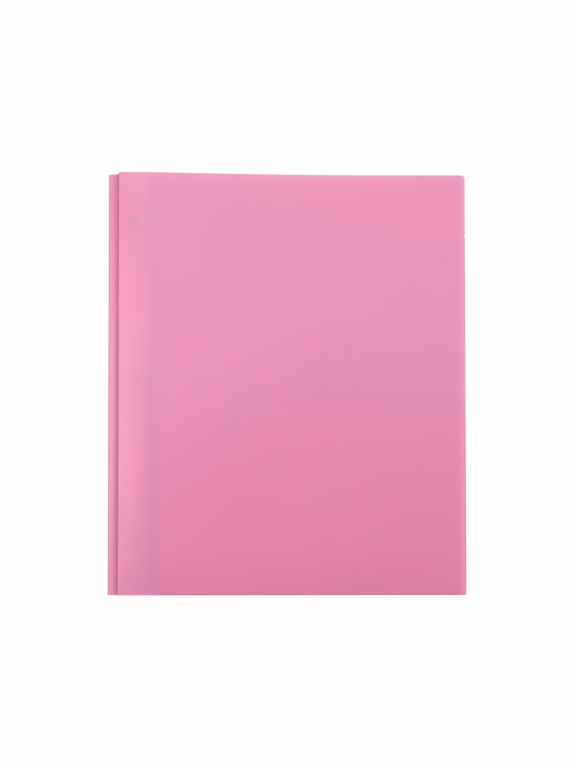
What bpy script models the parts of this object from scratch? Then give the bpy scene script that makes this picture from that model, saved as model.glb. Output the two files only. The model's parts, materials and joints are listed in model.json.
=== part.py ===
"""Plastic pocket folder, closed and lying on its back cover.

A polypropylene sheet is creased along two score lines into a back cover, a
spine panel and a front cover. Each cover carries a tall pocket with a sloping
mouth and, over it, a short pocket, both rounded over at the cover's edges.
A binding strip beside the spine holds three two-pronged metal fasteners.

Metres, +Z up, +X away from the spine, +Y to the top of the folder. The origin
is under the middle of the folder, on the surface that it lies on.
"""
import math

import bpy

MM = 0.001

# Sheet and clearances
SHEET = 0.5 * MM
SLACK = 0.4 * MM
GAP = 0.3 * MM

# Whole folder
FOLDER_HEIGHT = 292.0 * MM
FOLDER_WIDTH = 248.0 * MM
TOP_CORNER_RADIUS = 2.3 * MM

# Spine panel, from the lower score line to the upper one
SPINE_RUN = 6.75 * MM
SPINE_RISE = 8.9 * MM
SPINE_ROLL_RADIUS = 0.6 * MM
SPINE_START_SLOPE = math.radians(9)
SPINE_END_SLOPE = math.radians(88)
SPINE_CURVE_REACH = 5.6 * MM

# Binding strip and fasteners
STRIP_WIDTH = 15.0 * MM
STRIP_TO_SCORE_LINE = 2.5 * MM
STRIP_END_MARGIN = 6.0 * MM
HOLE_SPACING = 107.95 * MM
FASTENER_RISE = 0.9 * MM
BASE_THICKNESS = 0.3 * MM
BASE_WIDTH = 8.0 * MM
BASE_LENGTH = 16.0 * MM
BASE_CORNER_RADIUS = 2.0 * MM
PRONG_THICKNESS = 0.35 * MM
PRONG_WIDTH = 5.0 * MM
PRONG_LENGTH = 33.0 * MM
PRONG_SLOT_CLEARANCE = 4 * GAP
PRONG_ROOT_OFFSET = 1.6 * MM
PRONG_HUMP_OFFSET = 3.6 * MM
PRONG_HUMP_REACH = 3.0 * MM
PRONG_FLAT_START = 11.5 * MM
PROUD_HUMP = 6.8 * MM
PRESSED_HUMP = 1.8 * MM

# Tall pocket: its mouth starts near the cover's top edge and slopes down outwards
POCKET_TO_STRIP = 0.6 * MM
TALL_TOP_MARGIN = 3.0 * MM
TALL_SHOULDER_IN = 52.3 * MM
TALL_SHOULDER_RUN = 14.0 * MM
TALL_SHOULDER_DROP = 8.5 * MM
TALL_MOUTH_FLAT = 16.0 * MM
TALL_MOUTH_DROP = 43.0 * MM
TALL_MOUTH_RADIUS = 20.0 * MM

# Short pocket: level mouth, then a slope down to the side near the spine
SHORT_TO_TALL_EDGE = 11.2 * MM
SHORT_HEIGHT = 125.0 * MM
SHORT_INNER_HEIGHT = 64.0 * MM
SHORT_KNEE_IN = 33.0 * MM
SHORT_KNEE_HEIGHT = 87.0 * MM
SHORT_SHOULDER_IN = 72.0 * MM
SHORT_SHOULDER_RADIUS = 12.0 * MM
SHORT_KNEE_RADIUS = 60.0 * MM

# Finishes
PINK = (0.84, 0.30, 0.49, 1.0)
STEEL = (0.62, 0.62, 0.64, 1.0)
SHEET_FINISH = (PINK, 0.45, 0.0)
STEEL_FINISH = (STEEL, 0.35, 1.0)

# Worked out from the sizes above
LAYER = SHEET + SLACK
HALF_SHEET = SHEET / 2
HINGE_GAP = HALF_SHEET + GAP
ROLL_GAP = SPINE_ROLL_RADIUS + HALF_SHEET
SCORE_LOW_Z = HALF_SHEET + SPINE_ROLL_RADIUS
SCORE_LOW_U = SPINE_ROLL_RADIUS + HALF_SHEET
SCORE_HIGH_U = SCORE_LOW_U + SPINE_RUN
SCORE_HIGH_Z = SCORE_LOW_Z + SPINE_RISE
CLOSED_EDGE_Z = 6 * SHEET + 5 * SLACK - HALF_SHEET
COVER_REACH = FOLDER_WIDTH - SCORE_HIGH_U
COVER_TILT = math.asin((SCORE_HIGH_Z - CLOSED_EDGE_Z) / COVER_REACH)
SHORT_FOLD_RADIUS = LAYER
TALL_FOLD_RADIUS = LAYER / 2
SHORT_FOLD_EDGE = SHORT_FOLD_RADIUS + HALF_SHEET
TALL_FOLD_EDGE = TALL_FOLD_RADIUS + HALF_SHEET
STRIP_LEFT_U = SCORE_HIGH_U + STRIP_TO_SCORE_LINE
STRIP_RIGHT_U = STRIP_LEFT_U + STRIP_WIDTH
PRONG_U = (STRIP_LEFT_U + STRIP_RIGHT_U) / 2
TALL_LEFT_U = STRIP_RIGHT_U + POCKET_TO_STRIP
SHORT_LEFT_U = TALL_LEFT_U + SHORT_TO_TALL_EDGE
TALL_OUTER_HEIGHT = FOLDER_HEIGHT - TALL_MOUTH_DROP
BASE_Z = SHEET + GAP + BASE_THICKNESS / 2
STRIP_UNDER_Z = SHEET + BASE_THICKNESS + 2 * GAP
PRONG_REST_RISE = SHEET + GAP + PRONG_THICKNESS / 2

LEFT_EDGE_X = -FOLDER_WIDTH / 2
BOTTOM_EDGE_Y = -FOLDER_HEIGHT / 2
HINGE_MARK_SIZE = 10.0 * MM
ARC_STEPS = 6
CURVE_STEPS = 6
CIRCLE_HANDLE = 4 / 3 * math.tan(math.pi / 8)
UPRIGHT_ALONG_Y = (math.pi / 2, 0, 0)
UPRIGHT_ALONG_X = (math.pi / 2, 0, math.pi / 2)


def clear_scene():
    """Remove every object, so that the file starts empty."""
    for old in list(bpy.data.objects):
        bpy.data.objects.remove(old, do_unlink=True)


def make_material(name, colour, roughness, metallic):
    """A plain Principled finish for one piece."""
    material = bpy.data.materials.new(name)
    material.use_nodes = True
    shader = material.node_tree.nodes["Principled BSDF"]
    shader.inputs["Base Color"].default_value = colour
    shader.inputs["Roughness"].default_value = roughness
    shader.inputs["Metallic"].default_value = metallic
    return material


def add_hinge(name, collection, location, tilt=0.0, parent=None):
    """An empty on a score line, which carries what swings about that line."""
    hinge = bpy.data.objects.new(name, None)
    hinge.empty_display_size = HINGE_MARK_SIZE
    hinge.location = location
    hinge.rotation_euler = (0, tilt, 0)
    hinge.parent = parent
    collection.objects.link(hinge)
    return hinge


def add_curve(name, collection, finish):
    """An empty flat curve object in the folder's collection."""
    curve = bpy.data.curves.new(name, "CURVE")
    curve.dimensions = "2D"
    curve.resolution_u = CURVE_STEPS
    curve.render_resolution_u = CURVE_STEPS
    curve.materials.append(make_material(name, *finish))
    piece = bpy.data.objects.new(name, curve)
    collection.objects.link(piece)
    return piece


def rounded_outline(corners):
    """Points of an outline whose corners (x, y, radius) are rounded by arcs."""
    points = []
    for index, (x, y, radius) in enumerate(corners):
        if radius == 0:
            points.append((x, y))
            continue
        before = corners[index - 1]
        after = corners[(index + 1) % len(corners)]
        points.extend(corner_arc((x, y), before, after, radius))
    return points


def corner_arc(corner, before, after, radius):
    """Points of the arc that rounds one corner of an outline."""
    to_before = math.atan2(before[1] - corner[1], before[0] - corner[0])
    to_after = math.atan2(after[1] - corner[1], after[0] - corner[0])
    opening = math.remainder(to_after - to_before, 2 * math.pi)
    middle = to_before + opening / 2
    distance = radius / abs(math.sin(opening / 2))
    centre = (corner[0] + distance * math.cos(middle), corner[1] + distance * math.sin(middle))
    sweep = math.copysign(math.pi, opening) - opening
    first = middle + math.pi + sweep / 2
    arc = []
    for step in range(ARC_STEPS + 1):
        angle = first - sweep * step / ARC_STEPS
        arc.append((centre[0] + radius * math.cos(angle), centre[1] + radius * math.sin(angle)))
    return arc


def add_plate(name, collection, finish, outlines, thickness, location, parent=None):
    """A flat plate from closed outlines: the first is its edge, the rest are holes."""
    piece = add_curve(name, collection, finish)
    piece.data.fill_mode = "BOTH"
    piece.data.extrude = thickness / 2
    for outline in outlines:
        spline = piece.data.splines.new("POLY")
        spline.points.add(len(outline) - 1)
        for point, (x, y) in zip(spline.points, outline):
            point.co = (x, y, 0, 1)
        spline.use_cyclic_u = True
    piece.location = location
    piece.parent = parent
    return piece


def add_ribbon(name, collection, finish, knots, width, thickness, turn, location, parent=None):
    """A bent strip: a profile of knots (point, direction, reach) drawn out to a width."""
    piece = add_curve(name, collection, finish)
    piece.data.extrude = width / 2
    spline = piece.data.splines.new("BEZIER")
    spline.bezier_points.add(len(knots) - 1)
    for bezier, (point, direction, reach) in zip(spline.bezier_points, knots):
        handle = (reach * math.cos(direction), reach * math.sin(direction))
        bezier.co = (point[0], point[1], 0)
        bezier.handle_left = (point[0] - handle[0], point[1] - handle[1], 0)
        bezier.handle_right = (point[0] + handle[0], point[1] + handle[1], 0)
    solidify = piece.modifiers.new("thickness", "SOLIDIFY")
    solidify.thickness = thickness
    solidify.offset = 0
    piece.rotation_euler = turn
    piece.location = location
    piece.parent = parent
    return piece


def half_round(radius, side, rise):
    """Knots of a half circle that bulges to one side and climbs or drops by two radii."""
    reach = CIRCLE_HANDLE * radius
    along = 0 if side > 0 else math.pi
    climb = math.copysign(math.pi / 2, rise)
    return [
        ((0, 0), along, reach),
        ((side * radius, math.copysign(radius, rise)), climb, reach),
        ((0, math.copysign(2 * radius, rise)), math.pi - along, reach),
    ]


def cover_outline(hinge_u, hinge_gap):
    """A cover's edge, stepped in where its pockets round over, from its score line outwards."""
    reach = FOLDER_WIDTH - hinge_u
    bottom = BOTTOM_EDGE_Y
    top = BOTTOM_EDGE_Y + FOLDER_HEIGHT
    return rounded_outline(
        [
            (hinge_gap, bottom, 0),
            (SHORT_LEFT_U - hinge_u - GAP, bottom, 0),
            (SHORT_LEFT_U - hinge_u - GAP, bottom + SHORT_FOLD_EDGE + GAP, 0),
            *pocket_side(reach),
            (reach - TALL_FOLD_EDGE - GAP, bottom + TALL_OUTER_HEIGHT + GAP, 0),
            (reach, bottom + TALL_OUTER_HEIGHT + GAP, 0),
            (reach, top, TOP_CORNER_RADIUS),
            (hinge_gap, top, 0),
        ]
    )


def pocket_side(reach):
    """The outer side, from the bottom fold up past the short pocket's fold."""
    bottom = BOTTOM_EDGE_Y
    return [
        (reach - SHORT_FOLD_EDGE - GAP, bottom + SHORT_FOLD_EDGE + GAP, 0),
        (reach - SHORT_FOLD_EDGE - GAP, bottom + SHORT_HEIGHT + GAP, 0),
        (reach - TALL_FOLD_EDGE - GAP, bottom + SHORT_HEIGHT + GAP, 0),
    ]


def tall_pocket_outline(hinge_u):
    """The tall pocket's panel, with a shoulder and a long sloping mouth."""
    reach = FOLDER_WIDTH - hinge_u
    left = TALL_LEFT_U - hinge_u
    bottom = BOTTOM_EDGE_Y
    top = bottom + FOLDER_HEIGHT - TALL_TOP_MARGIN
    outer = bottom + TALL_OUTER_HEIGHT
    shoulder = left + TALL_SHOULDER_IN
    return rounded_outline(
        [
            (left, bottom + SHORT_FOLD_EDGE + GAP, 0),
            *pocket_side(reach),
            (reach - TALL_FOLD_EDGE - GAP, outer, 0),
            (reach - TALL_MOUTH_FLAT, outer, TALL_MOUTH_RADIUS),
            (shoulder + TALL_SHOULDER_RUN, top - TALL_SHOULDER_DROP, 0),
            (shoulder, top, 0),
            (left, top, 0),
        ]
    )


def short_pocket_outline(hinge_u):
    """The short pocket's panel, cut down towards the spine."""
    right = FOLDER_WIDTH - hinge_u - SHORT_FOLD_EDGE - GAP
    left = SHORT_LEFT_U - hinge_u
    bottom = BOTTOM_EDGE_Y
    return rounded_outline(
        [
            (left, bottom + SHORT_FOLD_EDGE + GAP, 0),
            (right, bottom + SHORT_FOLD_EDGE + GAP, 0),
            (right, bottom + SHORT_HEIGHT, 0),
            (left + SHORT_SHOULDER_IN, bottom + SHORT_HEIGHT, SHORT_SHOULDER_RADIUS),
            (left + SHORT_KNEE_IN, bottom + SHORT_KNEE_HEIGHT, SHORT_KNEE_RADIUS),
            (left, bottom + SHORT_INNER_HEIGHT, 0),
        ]
    )


def add_cover(side, collection, hinge, hinge_u, hinge_gap, cover_z, inward):
    """One cover with its two pockets and their rounded edges, in the hinge's own frame."""
    finish = SHEET_FINISH
    reach = FOLDER_WIDTH - hinge_u
    tall_z = cover_z + inward * LAYER
    short_z = cover_z + inward * 2 * LAYER
    add_plate(
        f"{side}_cover", collection, finish, [cover_outline(hinge_u, hinge_gap)], SHEET,
        (0, 0, cover_z), hinge,
    )
    add_plate(
        f"{side}_tall_pocket", collection, finish, [tall_pocket_outline(hinge_u)], SHEET,
        (0, 0, tall_z), hinge,
    )
    add_plate(
        f"{side}_short_pocket", collection, finish, [short_pocket_outline(hinge_u)], SHEET,
        (0, 0, short_z), hinge,
    )
    short_left = SHORT_LEFT_U - hinge_u
    short_right = reach - SHORT_FOLD_EDGE - GAP
    add_ribbon(
        f"{side}_pocket_bottom_fold", collection, finish, half_round(SHORT_FOLD_RADIUS, -1, inward),
        short_right - short_left, SHEET, UPRIGHT_ALONG_X,
        ((short_left + short_right) / 2, BOTTOM_EDGE_Y + SHORT_FOLD_EDGE, cover_z), hinge,
    )
    add_ribbon(
        f"{side}_short_pocket_side_fold", collection, finish, half_round(SHORT_FOLD_RADIUS, 1, inward),
        SHORT_HEIGHT, SHEET, UPRIGHT_ALONG_Y,
        (reach - SHORT_FOLD_EDGE, BOTTOM_EDGE_Y + SHORT_HEIGHT / 2, cover_z), hinge,
    )
    tall_fold_low = SHORT_HEIGHT + GAP
    add_ribbon(
        f"{side}_tall_pocket_side_fold", collection, finish, half_round(TALL_FOLD_RADIUS, 1, inward),
        TALL_OUTER_HEIGHT - tall_fold_low, SHEET, UPRIGHT_ALONG_Y,
        (reach - TALL_FOLD_EDGE, BOTTOM_EDGE_Y + (TALL_OUTER_HEIGHT + tall_fold_low) / 2, cover_z), hinge,
    )


def add_spine(collection, hinge):
    """The spine panel: rolled round the lower score line, then sweeping up to the upper one."""
    roll_end = math.pi / 2 + SPINE_START_SLOPE
    roll_reach = 4 / 3 * math.tan((math.pi - roll_end) / 4) * SPINE_ROLL_RADIUS
    start = (SPINE_ROLL_RADIUS * math.cos(roll_end), SPINE_ROLL_RADIUS * math.sin(roll_end))
    end = (
        SPINE_RUN - HINGE_GAP * math.cos(SPINE_END_SLOPE),
        SPINE_RISE - HINGE_GAP * math.sin(SPINE_END_SLOPE),
    )
    panel = add_ribbon(
        "spine_panel", collection, SHEET_FINISH,
        [
            ((-SPINE_ROLL_RADIUS, 0), math.pi / 2, roll_reach),
            (start, SPINE_START_SLOPE, roll_reach),
            (end, SPINE_END_SLOPE, SPINE_CURVE_REACH),
        ],
        FOLDER_HEIGHT, SHEET, UPRIGHT_ALONG_Y, (0, 0, 0), hinge,
    )
    roll_to_sweep = panel.data.splines[0].bezier_points[1]
    roll_to_sweep.handle_right = (
        start[0] + SPINE_CURVE_REACH * math.cos(SPINE_START_SLOPE),
        start[1] + SPINE_CURVE_REACH * math.sin(SPINE_START_SLOPE),
        0,
    )


def rectangle(centre_x, centre_y, width, length, radius=0.0):
    """Corners of an upright rectangle, rounded by a radius."""
    left, right = centre_x - width / 2, centre_x + width / 2
    low, high = centre_y - length / 2, centre_y + length / 2
    corners = [(left, low), (right, low), (right, high), (left, high)]
    return rounded_outline([(x, y, radius) for x, y in corners])


def fastener_heights():
    """Where the three fasteners stand along the spine, by name."""
    return {
        "top": FASTENER_RISE + HOLE_SPACING,
        "middle": FASTENER_RISE,
        "bottom": FASTENER_RISE - HOLE_SPACING,
    }


def add_binding_strip(collection):
    """The strip beside the spine, slotted for each prong."""
    x = LEFT_EDGE_X + PRONG_U
    slot_width = PRONG_WIDTH + 2 * GAP
    slot_length = PRONG_THICKNESS + PRONG_SLOT_CLEARANCE
    outlines = [rectangle(x, 0, STRIP_WIDTH, FOLDER_HEIGHT - 2 * STRIP_END_MARGIN)]
    for height in fastener_heights().values():
        for side in (1, -1):
            outlines.append(rectangle(x, height + side * PRONG_ROOT_OFFSET, slot_width, slot_length))
    add_plate(
        "binding_strip", collection, SHEET_FINISH, outlines, SHEET,
        (0, 0, STRIP_UNDER_Z + HALF_SHEET),
    )


def add_fastener(collection, place, height):
    """One fastener: a base under the strip and two prongs that bend over on top of it."""
    finish = STEEL_FINISH
    x = LEFT_EDGE_X + PRONG_U
    add_plate(
        f"fastener_base_{place}", collection, finish,
        [rectangle(x, height, BASE_WIDTH, BASE_LENGTH, BASE_CORNER_RADIUS)], BASE_THICKNESS, (0, 0, BASE_Z),
    )
    proud_side = -1 if place == "bottom" else 1
    for name, side in (("upper", 1), ("lower", -1)):
        hump = PROUD_HUMP if side == proud_side else PRESSED_HUMP
        along = 0 if side > 0 else math.pi
        add_ribbon(
            f"prong_{place}_{name}", collection, finish,
            [
                ((0, 0), math.pi / 2, hump / 2),
                ((side * PRONG_HUMP_OFFSET, hump), along, PRONG_HUMP_REACH),
                ((side * PRONG_FLAT_START, PRONG_REST_RISE), along, PRONG_HUMP_REACH),
                ((side * PRONG_LENGTH, PRONG_REST_RISE), along, PRONG_HUMP_REACH),
            ],
            PRONG_WIDTH, PRONG_THICKNESS, UPRIGHT_ALONG_X,
            (x, height + side * PRONG_ROOT_OFFSET, STRIP_UNDER_Z),
        )


def main():
    clear_scene()
    folder = bpy.data.collections.new("plastic_pocket_folder")
    bpy.context.scene.collection.children.link(folder)
    back_hinge = add_hinge("back_cover_seat", folder, (LEFT_EDGE_X + SCORE_LOW_U, 0, 0))
    spine_hinge = add_hinge("spine_hinge", folder, (LEFT_EDGE_X + SCORE_LOW_U, 0, SCORE_LOW_Z))
    cover_hinge = add_hinge("cover_hinge", folder, (SPINE_RUN, 0, SPINE_RISE), COVER_TILT, spine_hinge)
    add_cover("back", folder, back_hinge, SCORE_LOW_U, ROLL_GAP, HALF_SHEET, 1)
    add_cover("front", folder, cover_hinge, SCORE_HIGH_U, HINGE_GAP, 0, -1)
    add_spine(folder, spine_hinge)
    add_binding_strip(folder)
    for place, height in fastener_heights().items():
        add_fastener(folder, place, height)


main()
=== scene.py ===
"""Plastic pocket folder, dressed: sheets, folds, score lines, binding strip, fasteners and stage.

Metres, in the part's own frame: +X from the spine to the outer edge, +Y to the top edge, +Z up.
"""

import json
import math

import bmesh
import bpy
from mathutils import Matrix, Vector


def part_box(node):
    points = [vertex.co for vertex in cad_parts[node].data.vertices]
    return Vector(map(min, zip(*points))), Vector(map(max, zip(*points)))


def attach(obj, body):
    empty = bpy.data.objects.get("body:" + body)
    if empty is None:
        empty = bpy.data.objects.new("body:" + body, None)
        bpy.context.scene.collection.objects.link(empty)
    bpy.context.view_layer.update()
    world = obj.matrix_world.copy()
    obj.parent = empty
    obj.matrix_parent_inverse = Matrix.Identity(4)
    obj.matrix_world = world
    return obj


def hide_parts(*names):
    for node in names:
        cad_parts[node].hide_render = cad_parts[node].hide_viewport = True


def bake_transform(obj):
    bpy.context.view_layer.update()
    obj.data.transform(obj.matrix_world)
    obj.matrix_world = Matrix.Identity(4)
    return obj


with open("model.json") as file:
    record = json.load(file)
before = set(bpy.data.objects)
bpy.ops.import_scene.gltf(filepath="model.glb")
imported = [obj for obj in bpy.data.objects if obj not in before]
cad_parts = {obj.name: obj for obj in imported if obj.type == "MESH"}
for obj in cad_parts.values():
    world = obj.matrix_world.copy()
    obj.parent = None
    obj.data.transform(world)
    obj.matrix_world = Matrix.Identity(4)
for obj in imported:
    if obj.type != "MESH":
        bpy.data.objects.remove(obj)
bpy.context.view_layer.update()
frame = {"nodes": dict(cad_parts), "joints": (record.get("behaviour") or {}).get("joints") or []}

bl_info = {
    "name": "Plastic Pocket Folder",
    "version": (1, 0, 0),
    "blender": (4, 5, 0),
    "location": "View3D > Sidebar > Folder",
    "description": "Dresses the pocket folder's solids as thin translucent sheets with metal fasteners",
    "category": "Object",
}

MM = 0.001
CLEARANCE = 0.3 * MM
SEAM = 0.03 * MM
JOINTS = {joint["name"]: joint for joint in frame["joints"]}
LOWER_SCORE = Vector(JOINTS["spine_fold"]["pos_m"])
UPPER_SCORE = Vector(JOINTS["cover_fold"]["pos_m"])

# Places read off the solids
BACK_LOW, BACK_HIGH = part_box("back_cover")
FRONT_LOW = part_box("front_cover")[0]
STRIP_LOW, STRIP_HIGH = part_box("binding_strip")
TALL_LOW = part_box("back_tall_pocket")[0]
SHORT_LOW, SHORT_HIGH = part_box("back_short_pocket")
RIGHT = BACK_HIGH.x
BOTTOM = BACK_LOW.y
TOP = BACK_HIGH.y
SHEET = BACK_HIGH.z - BACK_LOW.z
HALF_SHEET = SHEET / 2
LAYER = TALL_LOW.z - BACK_LOW.z
HINGE_GAP = HALF_SHEET + CLEARANCE
SHORT_FOLD = LAYER
TALL_FOLD = LAYER / 2
SHORT_FOLD_EDGE = SHORT_FOLD + HALF_SHEET
TALL_FOLD_EDGE = TALL_FOLD + HALF_SHEET
FOLD_FLOOR = BOTTOM + SHORT_FOLD_EDGE
SHORT_TOP = SHORT_HIGH.y
TALL_OUTER_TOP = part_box("back_tall_pocket_side_fold")[1].y
LOWER_POINT = Vector((LOWER_SCORE.x, LOWER_SCORE.z))
UPPER_POINT = Vector((UPPER_SCORE.x, UPPER_SCORE.z))
SPINE_ROLL = LOWER_SCORE.z - HALF_SHEET
PRONG_LOW, PRONG_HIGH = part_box("prong_top_upper")
PRONG_WIDTH = PRONG_HIGH.x - PRONG_LOW.x
COVER_REACH = RIGHT - UPPER_SCORE.x
COVER_TILT = math.asin((UPPER_SCORE.z - FRONT_LOW.z - HALF_SHEET) / COVER_REACH)

# Names of what repeats
SIDES = ("back", "front")
PRONG_PLACES = ("top", "middle", "bottom")
PRONG_SIDES = (("upper", 1), ("lower", -1))
SHEET_KINDS = ("cover", "front", "spine", "tall", "short", "edge", "crease")

# From what height a prong is proud, and how dark the painted shade is where each fastener's proud prong shows
# through the front cover
PROUD_HUMP = 4 * MM
SPOT_SHADE = {"top": 1.0, "middle": 0.55, "bottom": 0.58}

# Corner radii of the pockets' mouths, from the spine side outwards
TALL_CORNERS = (4 * MM, 10 * MM, 20 * MM)
SHORT_CORNERS = (60 * MM, 12 * MM)

# Cells of the sheets' meshes, and the zones where they are small
SMALL_CELL = 1 * MM
MOUTH_CELL = 1.5 * MM
ROLL_CELL = 2.5 * MM
FOLD_CELL = 0.6 * MM
RIM_CELL = 0.4 * MM
SPINE_CELL = 12 * MM
HINGE_ZONE = 2 * MM
KNEE_ZONE = (14 * MM, 22 * MM)
OUTER_ZONE = 14 * MM
BOTTOM_ZONE = 30 * MM
FOLD_SLIT = 0.35 * MM
SHOULDER_ZONE = (3 * MM, 18 * MM)
SLOPE_END_ZONE = 24 * MM
NOTCH_CELL = 0.05 * MM
KNEE_CELL = 3 * MM
KNEE_PAST = 6 * MM
EXTRA_ROWS = 6
ROW_CROWDING = 0.55
CORNER_STEPS = 8
HEM_STEPS = 8
HEM_TURN_STEPS = 6
SPINE_STEPS = 16
PRONG_STEPS = 8
TIP_STEPS = 6

# The front cover's ripple in radians per metre, and the skew of the sag in its top edge
RIPPLE_ACROSS, RIPPLE_ALONG = 46, 39
RIPPLE_SLANT = (25, 31)
RIPPLE_START = (1.3, 0.4)
SAG_SKEW = 1.2

# Creases, binding strip and prongs
CREASE = 0.9 * SHEET
CREASE_ROUND = 0.02 * MM
STRIP_RIM = 0.6 * MM
STRIP_RAMP = 0.9 * MM
STRIP_CELL = 8 * MM
STRIP_GAP = 0.05 * MM
SLOT_HALF_LENGTH = 0.7 * MM
PRONG_ROUND = 0.06 * MM
PRONG_TIP = 0.25 * MM

# Softness of the tints: painted shade where the pockets show through the covers, and a painted highlight
# along their outer edge
SHARP_EDGE = 0.7 * MM
SIDE_SOFTEN = 2 * MM
WELD_SOFTEN = 1.5 * MM
WELD_FADE = 4 * MM
SHEEN_PAST_EDGE = 0.5 * MM

# Kinds of sockets, and the places of the colour sockets on a Mix node
FLOAT, COLOUR = "NodeSocketFloat", "NodeSocketColor"
MIX_SHARE, MIX_PLAIN, MIX_TINT, MIX_RESULT = 0, 6, 7, 2

# Stage, with each light's name, place, target and size
FLOOR_HALF = 4.0
FLOOR_DROP = 0.2 * MM
FLOOR_WHITE = 0.98
LIGHTS = (
    ("key", (0.06, 0.42, 1.50), (0.06, 0.05, 0), (1.1, 0.55)),
    ("left", (-0.40, 0.05, 1.15), (-0.1, 0.05, 0), (0.4, 0.2)),
    ("side", (-0.75, 0.09, 0.75), (-0.12, 0.09, 0), (0.2, 0.5)),
    ("right", (0.55, 0.12, 1.0), (0.12, 0.12, 0), (0.6, 0.14)),
)


def number(name, description, default, **options):
    """A number for the user to change."""
    return bpy.props.FloatProperty(name=name, description=description, default=default, **options)


def length(name, description, millimetres):
    """A length for the user to change, given in millimetres."""
    return number(name, description, millimetres * MM, unit="LENGTH", precision=5)


def share(name, description, default):
    """A share from 0 to 1 for the user to change."""
    return number(name, description, default, min=0, max=1, subtype="FACTOR")


def angle(name, description, degrees):
    """An angle for the user to change, given in degrees."""
    return number(name, description, math.radians(degrees), subtype="ANGLE")


def numbers(name, description, default, **options):
    """Several numbers that belong together, for the user to change."""
    return bpy.props.FloatVectorProperty(
        name=name, description=description, default=default, size=len(default), **options
    )


def colour(name, description, default):
    """A colour for the user to change."""
    return numbers(name, description, default, min=0, max=1, subtype="COLOR")


class FolderShape(bpy.types.PropertyGroup):
    """Sizes of the sheets, folds and fasteners."""

    mesh_step: length("Mesh step", "Longest side of a cell in the sheets", 6.0)
    edge_round: length("Edge rounding", "Rounding of the sheets' cut edges", 0.12)
    bow: length("Cover bow", "How far the front cover bellies out between its edges", 1.5)
    band: length("Band", "Width of the sloping band beside the upper score line", 15.0)
    band_soften: length("Band softening", "Width over which the band's slope ends", 11.0)
    bottom_roll: length("Bottom roll", "Height over which the cover rolls down to its bottom fold", 30.0)
    side_fall: length("Side fall", "Width over which the cover falls gently to its outer edge", 60.0)
    side_roll: length("Side roll", "Width over which it rolls down faster beside its side fold", 7.0)
    side_share: share("Side roll share", "Share of the bow that the faster roll takes", 0.27)
    ripple: length("Ripple", "Slow unevenness of the front cover", 0.12)
    top_dip: length("Top dip", "How far the front cover's top edge sags between its corners", 1.0)
    dip_reach: length("Dip reach", "Height over which that sag fades out", 60.0)
    top_corner: length("Top corner", "Radius of the covers' top outer corners", 2.3)
    fold_notch: length("Fold notch", "Gap in the outer edge where a pocket's fold ends", 0.9)
    tall_top_margin: length("Tall pocket top", "Tall pocket's top below the cover's top edge", 3.0)
    tall_shoulder_in: length("Tall shoulder", "Level top of the tall pocket, from its inner side", 52.3)
    tall_shoulder_run: length("Shoulder run", "Width of the tall pocket's steep shoulder", 14.0)
    tall_shoulder_drop: length("Shoulder drop", "Drop of the tall pocket's steep shoulder", 8.5)
    tall_mouth_flat: length("Mouth flat", "Level end of the tall pocket's mouth at the outer edge", 16.0)
    short_inner_height: length("Short inner height", "Short pocket's height at its side near the spine", 64.0)
    short_knee_in: length("Knee in", "Short pocket's knee, from its side near the spine", 33.0)
    short_knee_height: length("Knee height", "Height of the short pocket's knee", 87.0)
    short_shoulder_in: length("Shoulder in", "Short pocket's shoulder, from its side near the spine", 72.0)
    spine_start_slope: angle("Spine start slope", "Slope of the spine beside the lower score line", 4)
    spine_end_slope: angle("Spine end slope", "Slope of the spine under the upper score line", 88)
    spine_shelf: length("Spine shelf", "How far the spine's curve keeps to its start slope", 5.0)
    spine_wall: length("Spine wall", "How far the spine's curve keeps to its end slope", 7.4)
    spine_relax: length("Spine relax", "How much further the shelf reaches at mid height", 1.2)
    strip_channel: length("Strip channel", "Width of the binding strip's raised middle", 9.0)
    prong_thickness: length("Prong thickness", "Thickness of a prong", 0.35)
    hump_in: length("Hump in", "From a prong's root to the top of its hump", 3.6)
    hump_reach: length("Hump reach", "How far a prong keeps level at the top of its hump", 3.0)
    prong_flat: length("Prong flat", "From a prong's root to where it lies flat", 11.5)
    # Painted highlight: width of the sheen painted along the covers' rolled outer edge
    edge_sheen: length("Fold whitening", "Width of the paler margin along the covers' outer edge", 6.0)
    # Size of the painted shade spot where a proud prong shows through the cover
    spot_across: length("Mark across", "Half width of the mark that a proud prong rubs into the cover", 3.6)
    spot_along: length("Mark along", "Half length of that mark", 3.1)
    proud_lift: length("Proud lift", "How much higher the proud prongs stand under the belly", 0.95)


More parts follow.
